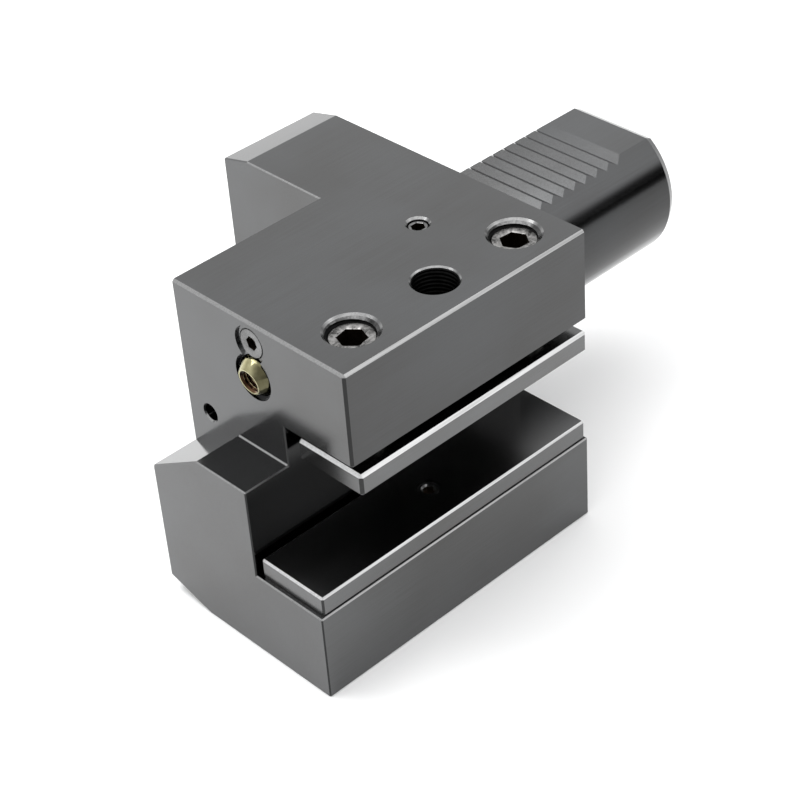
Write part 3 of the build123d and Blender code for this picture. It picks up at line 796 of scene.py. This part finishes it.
def ball_nozzle(node, body, materials):
    """Smooth ball with its collar and a threaded outlet, whose crests are of the first material, the
    outer brass, as painted highlight.
    """
    low, high = box_of(node)
    ball = (high.y - low.y) / 2
    outward = Vector((-math.cos(NOZZLE_TILT), 0, -math.sin(NOZZLE_TILT)))
    heights = even_steps(OUTLET_FLOOR, COLLAR_REACH - OUTLET_MOUTH_EDGE, OUTLET_ROWS)

    def radius(angle, height):
        mouth = OUTLET_MOUTH_RADIUS - (COLLAR_REACH - height)
        return max(thread_radius(OUTLET_THREAD, angle, height), mouth)

    mesh = bmesh.new()
    first, last = threaded_wall(mesh, heights, radius)
    # Outlet crests take the outer brass as painted highlight, the rest the dark outlet brass
    for face in mesh.faces:
        spot = face.calc_center_median()
        crest = OUTLET_THREAD.narrow + OUTLET_CREST_SEAM
        face.material_index = int(math.hypot(spot.x, spot.y) > crest)
    rings = [
        (OUTLET_MOUTH_RADIUS, COLLAR_REACH),
        (COLLAR_RADIUS - COLLAR_EDGE, COLLAR_REACH),
        (COLLAR_RADIUS, COLLAR_REACH - COLLAR_EDGE),
    ]
    start = math.asin(COLLAR_FOOT_RADIUS / ball)
    end = math.pi - math.asin(JET_RADIUS / ball)
    rings += arc_rings(0, 0, ball, start, end, BALL_STEPS)
    rings.append((JET_RADIUS, OUTLET_FLOOR))
    join_loops(mesh, add_rings(mesh, last, rings), first)
    place = pointed(joint_place("nozzle_tilt"), outward)
    dress(finish_mesh(node + "_turned", mesh, place), body, materials, [node])


def seal_ring(node, body, materials):
    """A round-section ring in place of the node's faceted one."""
    low, high = box_of(node)
    wire = (high.x - low.x) / 2
    radius = (high.y - low.y) / 2 - wire
    rings = []
    for index in range(SEAL_SIDES):
        angle = math.tau * index / SEAL_SIDES
        rings.append((radius + wire * math.cos(angle), wire * math.sin(angle)))
    place = pointed((low + high) / 2, Vector((1, 0, 0)))
    dress(lathe(node + "_round", rings, place, closed=True), body, materials, [node])


def coil_spring(node, material):
    """Round-wire spring in place of the node, with its place baked into its mesh."""
    low, high = box_of(node)
    wire = SPRING_WIRE / 2
    radius = (high.y - low.y) / 2 - wire
    rise = high.z - low.z - SPRING_WIRE
    steps = int(SPRING_TURNS * SPRING_STEPS)
    mesh = bmesh.new()
    loops = []
    for step in range(steps + 1):
        angle = math.tau * step / SPRING_STEPS
        height = low.z + wire + rise * step / steps
        loop = []
        for index in range(SPRING_SIDES):
            around = math.tau * index / SPRING_SIDES
            reach = radius + wire * math.cos(around)
            spot = (reach * math.cos(angle), reach * math.sin(angle), height + wire * math.sin(around))
            loop.append(mesh.verts.new(spot))
        loops.append(loop)
    for one, other in zip(loops, loops[1:]):
        join_loops(mesh, one, other)
    mesh.faces.new(loops[0])
    mesh.faces.new(loops[-1])
    piece = finish_mesh(node + "_coil", mesh, upright(center_of(node)))
    piece.data.materials.append(material)
    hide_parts(node)
    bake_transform(piece)


def corner_strip(name, materials):
    """A thin sloped strip in the corner between the ledge and the block's front face, which the steel's
    bright edge colour shows as a painted highlight.
    """
    section = [
        (BLOCK_FRONT, LEDGE_HEIGHT + CORNER_LEG),
        (BLOCK_FRONT - CORNER_LEG, LEDGE_HEIGHT),
        (BLOCK_FRONT, LEDGE_HEIGHT),
    ]
    mesh = bmesh.new()
    ends = [[mesh.verts.new((x, side, z)) for x, z in section] for side in LEDGE_SIDES]
    mesh.faces.new(ends[0])
    mesh.faces.new(reversed(ends[1]))
    join_loops(mesh, *ends)
    dress(finish_mesh(name, mesh, Matrix.Identity(4)), "holder", materials)


def pale_floor():
    """A wide pale floor under the holder."""
    material, tree = new_material("pale_floor")
    place = tree.add("ShaderNodeTexCoord").outputs
    grain = tree.noise(place["Object"], scale=14.0, detail=3.0, roughness=0.5)
    color = tree.mix(grain, *(grey(value) for value in FLOOR_GREYS))
    inputs = {
        "Base Color": color,
        "Roughness": FLOOR_ROUGHNESS,
        "Specular IOR Level": FLOOR_SPECULAR,
    }
    shader = tree.add("ShaderNodeBsdfPrincipled", inputs)
    tree.add("ShaderNodeOutputMaterial", {"Surface": shader.outputs["BSDF"]})
    signs = ((-1, -1), (1, -1), (1, 1), (-1, 1))
    data = bpy.data.meshes.new("floor")
    data.from_pydata([(x * FLOOR_HALF, y * FLOOR_HALF, 0) for x, y in signs], [], [(0, 1, 2, 3)])
    data.materials.append(material)
    floor = bpy.data.objects.new("floor", data)
    floor.location.z = cad_box[0][2]
    bpy.context.scene.collection.objects.link(floor)


def softbox(name, place, aim, size, radiance):
    """A square soft light of a given size and brightness."""
    data = bpy.data.lights.new(name, "AREA")
    data.shape = "SQUARE"
    data.size = size
    data.energy = radiance * math.pi * size**2
    light = bpy.data.objects.new(name, data)
    light.location = place
    light.rotation_mode = "QUATERNION"
    light.rotation_quaternion = (place - aim).to_track_quat("Z", "Y")
    bpy.context.scene.collection.objects.link(light)


def studio():
    """White surroundings, dark on the right, bright at the back and above, and two softboxes."""
    world = bpy.data.worlds.new("studio")
    bpy.context.scene.world = world
    world.use_nodes = True
    tree = Tree(world.node_tree)
    way = tree.add("ShaderNodeTexCoord").outputs["Generated"]
    height = tree.parts(way)["Z"]
    toward_right = tree.ramp(facing(tree, way, DARK_SIDE), *DARK_RANGE)
    toward_back = tree.ramp(facing(tree, way, BRIGHT_SIDE), *BRIGHT_RANGE)
    color = tree.mix(toward_right, grey(HORIZON_GREY), grey(DARK_GREY))
    color = tree.mix(toward_back, color, grey(BRIGHT_GREY))
    color = tree.mix(tree.ramp(height, *SKY_RANGE), color, grey(SKY_GREY, SKY_TINT))
    color = tree.mix(tree.ramp(height, *ZENITH_RANGE), color, grey(ZENITH_GREY))
    background = tree.add("ShaderNodeBackground", {"Color": color, "Strength": 1.0})
    tree.add("ShaderNodeOutputWorld", {"Surface": background.outputs["Background"]})
    softbox("right_softbox", RIGHT_BOX_PLACE, RIGHT_BOX_AIM, size=0.13, radiance=1.25)
    softbox("left_softbox", LEFT_BOX_PLACE, LEFT_BOX_AIM, size=0.4, radiance=4.7)


def photo_camera():
    """Camera at the photograph's angle."""
    data = bpy.data.cameras.new("photo_camera")
    data.sensor_width = SENSOR_WIDTH
    data.lens = CAMERA_LENS
    data.clip_start = CLIP_START
    data.clip_end = CLIP_END
    camera = bpy.data.objects.new("photo_camera", data)
    back = CAMERA_BACK.normalized()
    up = back.cross(CAMERA_RIGHT).normalized()
    right = up.cross(back)
    turn = Matrix((right, up, back)).transposed()
    camera.matrix_world = Matrix.Translation(CAMERA_PLACE) @ turn.to_4x4()
    bpy.context.scene.collection.objects.link(camera)
    bpy.context.scene.camera = camera


# Materials
# The steels' bright edge colours are partly wear and partly painted highlight
STEEL = ground_steel("ground_steel", base=0.118, edge_base=0.33, roughness=0.16, body=True)
PLATE = ground_steel("plate_steel", base=0.145, edge_base=0.6, roughness=0.23)
SCREW = oiled_steel("screw_steel", base=0.32, roughness=0.34, mottle=0.05, warm=0.02, coarse=1.5)
# Near-black painted shade inside the hexagonal sockets
PAINTED_SOCKET_SHADE = oiled_steel("socket_painted_shade", base=0.05, roughness=0.40, mottle=0.5, warm=0.25)
# Countersinks with painted shade on their sides
CONE = oiled_steel(
    "countersink_steel", base=0.30, roughness=0.24, mottle=0.3, coarse=3.0, painted_aside_shade=0.7
)
# Near-black painted shade on the threads inside the holes
PAINTED_BORE_SHADE = oiled_steel("bore_painted_shade", base=0.01, roughness=0.45, mottle=0.5)
BASE_SCREW = oiled_steel("base_screw_steel", base=0.24, roughness=0.24, mottle=0.5)
LOCK = oiled_steel("lock_screw_steel", base=0.19, roughness=0.28, mottle=0.7)
BLACK = black_oxide("dark_screw_steel", base=0.035, roughness=0.38)
SPRING = oiled_steel("spring_steel", base=0.35, roughness=0.32, mottle=0.6)
BRASS = turned_brass("brass", dark=(0.30, 0.275, 0.15, 1), light=(0.42, 0.395, 0.235, 1))
# Dark brown outlet brass: a coppery tint with painted shade inside the outlet
OUTLET_TINT_AND_SHADE = turned_brass("outlet_brass_and_painted_shade", dark=(0.07, 0.035, 0.018, 1), light=(0.14, 0.08, 0.045, 1))
RUBBER = rubber("seal_rubber")

# Nodes that keep their own mesh
paint("holder_body", STEEL)
for node in ("pressure_plate", "base_plate"):
    paint(node, PLATE)
for node in ("plate_lift_screw", "front_channel_plug", "shank_channel_plug", "side_channel_plug"):
    paint(node, BLACK)
paint("base_plate_pins", SCREW)

# Pieces that stand for a node or add a thread or a strip to one
coil_spring("lift_spring", SPRING)
clamp_screw("front_clamp_screw", "front_screw", [SCREW, PAINTED_SOCKET_SHADE], FRONT_HEX_TURN)
clamp_screw("rear_clamp_screw", "rear_screw", [SCREW, PAINTED_SOCKET_SHADE], REAR_HEX_TURN)
body_top = top_of("holder_body")
# Hole threads take painted shade, their countersinks the countersink steel
for name, node in (("front_hole_thread", "front_clamp_screw"), ("rear_hole_thread", "rear_clamp_screw")):
    thread_sleeve(
        name, center_of(node), HOLE_FLOOR + SLEEVE_LIFT, body_top - HOLE_COUNTERSINK,
        HOLE_RADIUS, HOLE_THREAD, [PAINTED_BORE_SHADE, CONE],
    )
# The middle bore's thread and countersink both take painted shade
thread_sleeve(
    "middle_bore_thread", center_of("plate_lift_screw"), BORE_FLOOR + SLEEVE_LIFT,
    body_top - BORE_COUNTERSINK, BORE_RADIUS, BORE_THREAD, [PAINTED_BORE_SHADE, PAINTED_BORE_SHADE],
)
ball_nozzle("coolant_nozzle", "nozzle", [BRASS, OUTLET_TINT_AND_SHADE])
countersunk_screw("nozzle_lock_screw", "holder", [LOCK, PAINTED_SOCKET_SHADE])
channel_plug("top_channel_plug", "holder", [LOCK, PAINTED_SOCKET_SHADE])
for node in ("nozzle_seal_ring", "shank_seal_ring", "inlet_seal_ring"):
    seal_ring(node, "holder", [RUBBER])
base_screw("base_plate_screw", "holder", [BASE_SCREW, PAINTED_SOCKET_SHADE])
corner_strip("ledge_corner_strip", [STEEL])

# Floor, light and camera
pale_floor()
studio()
photo_camera()
bpy.context.scene.view_settings.view_transform = "Standard"
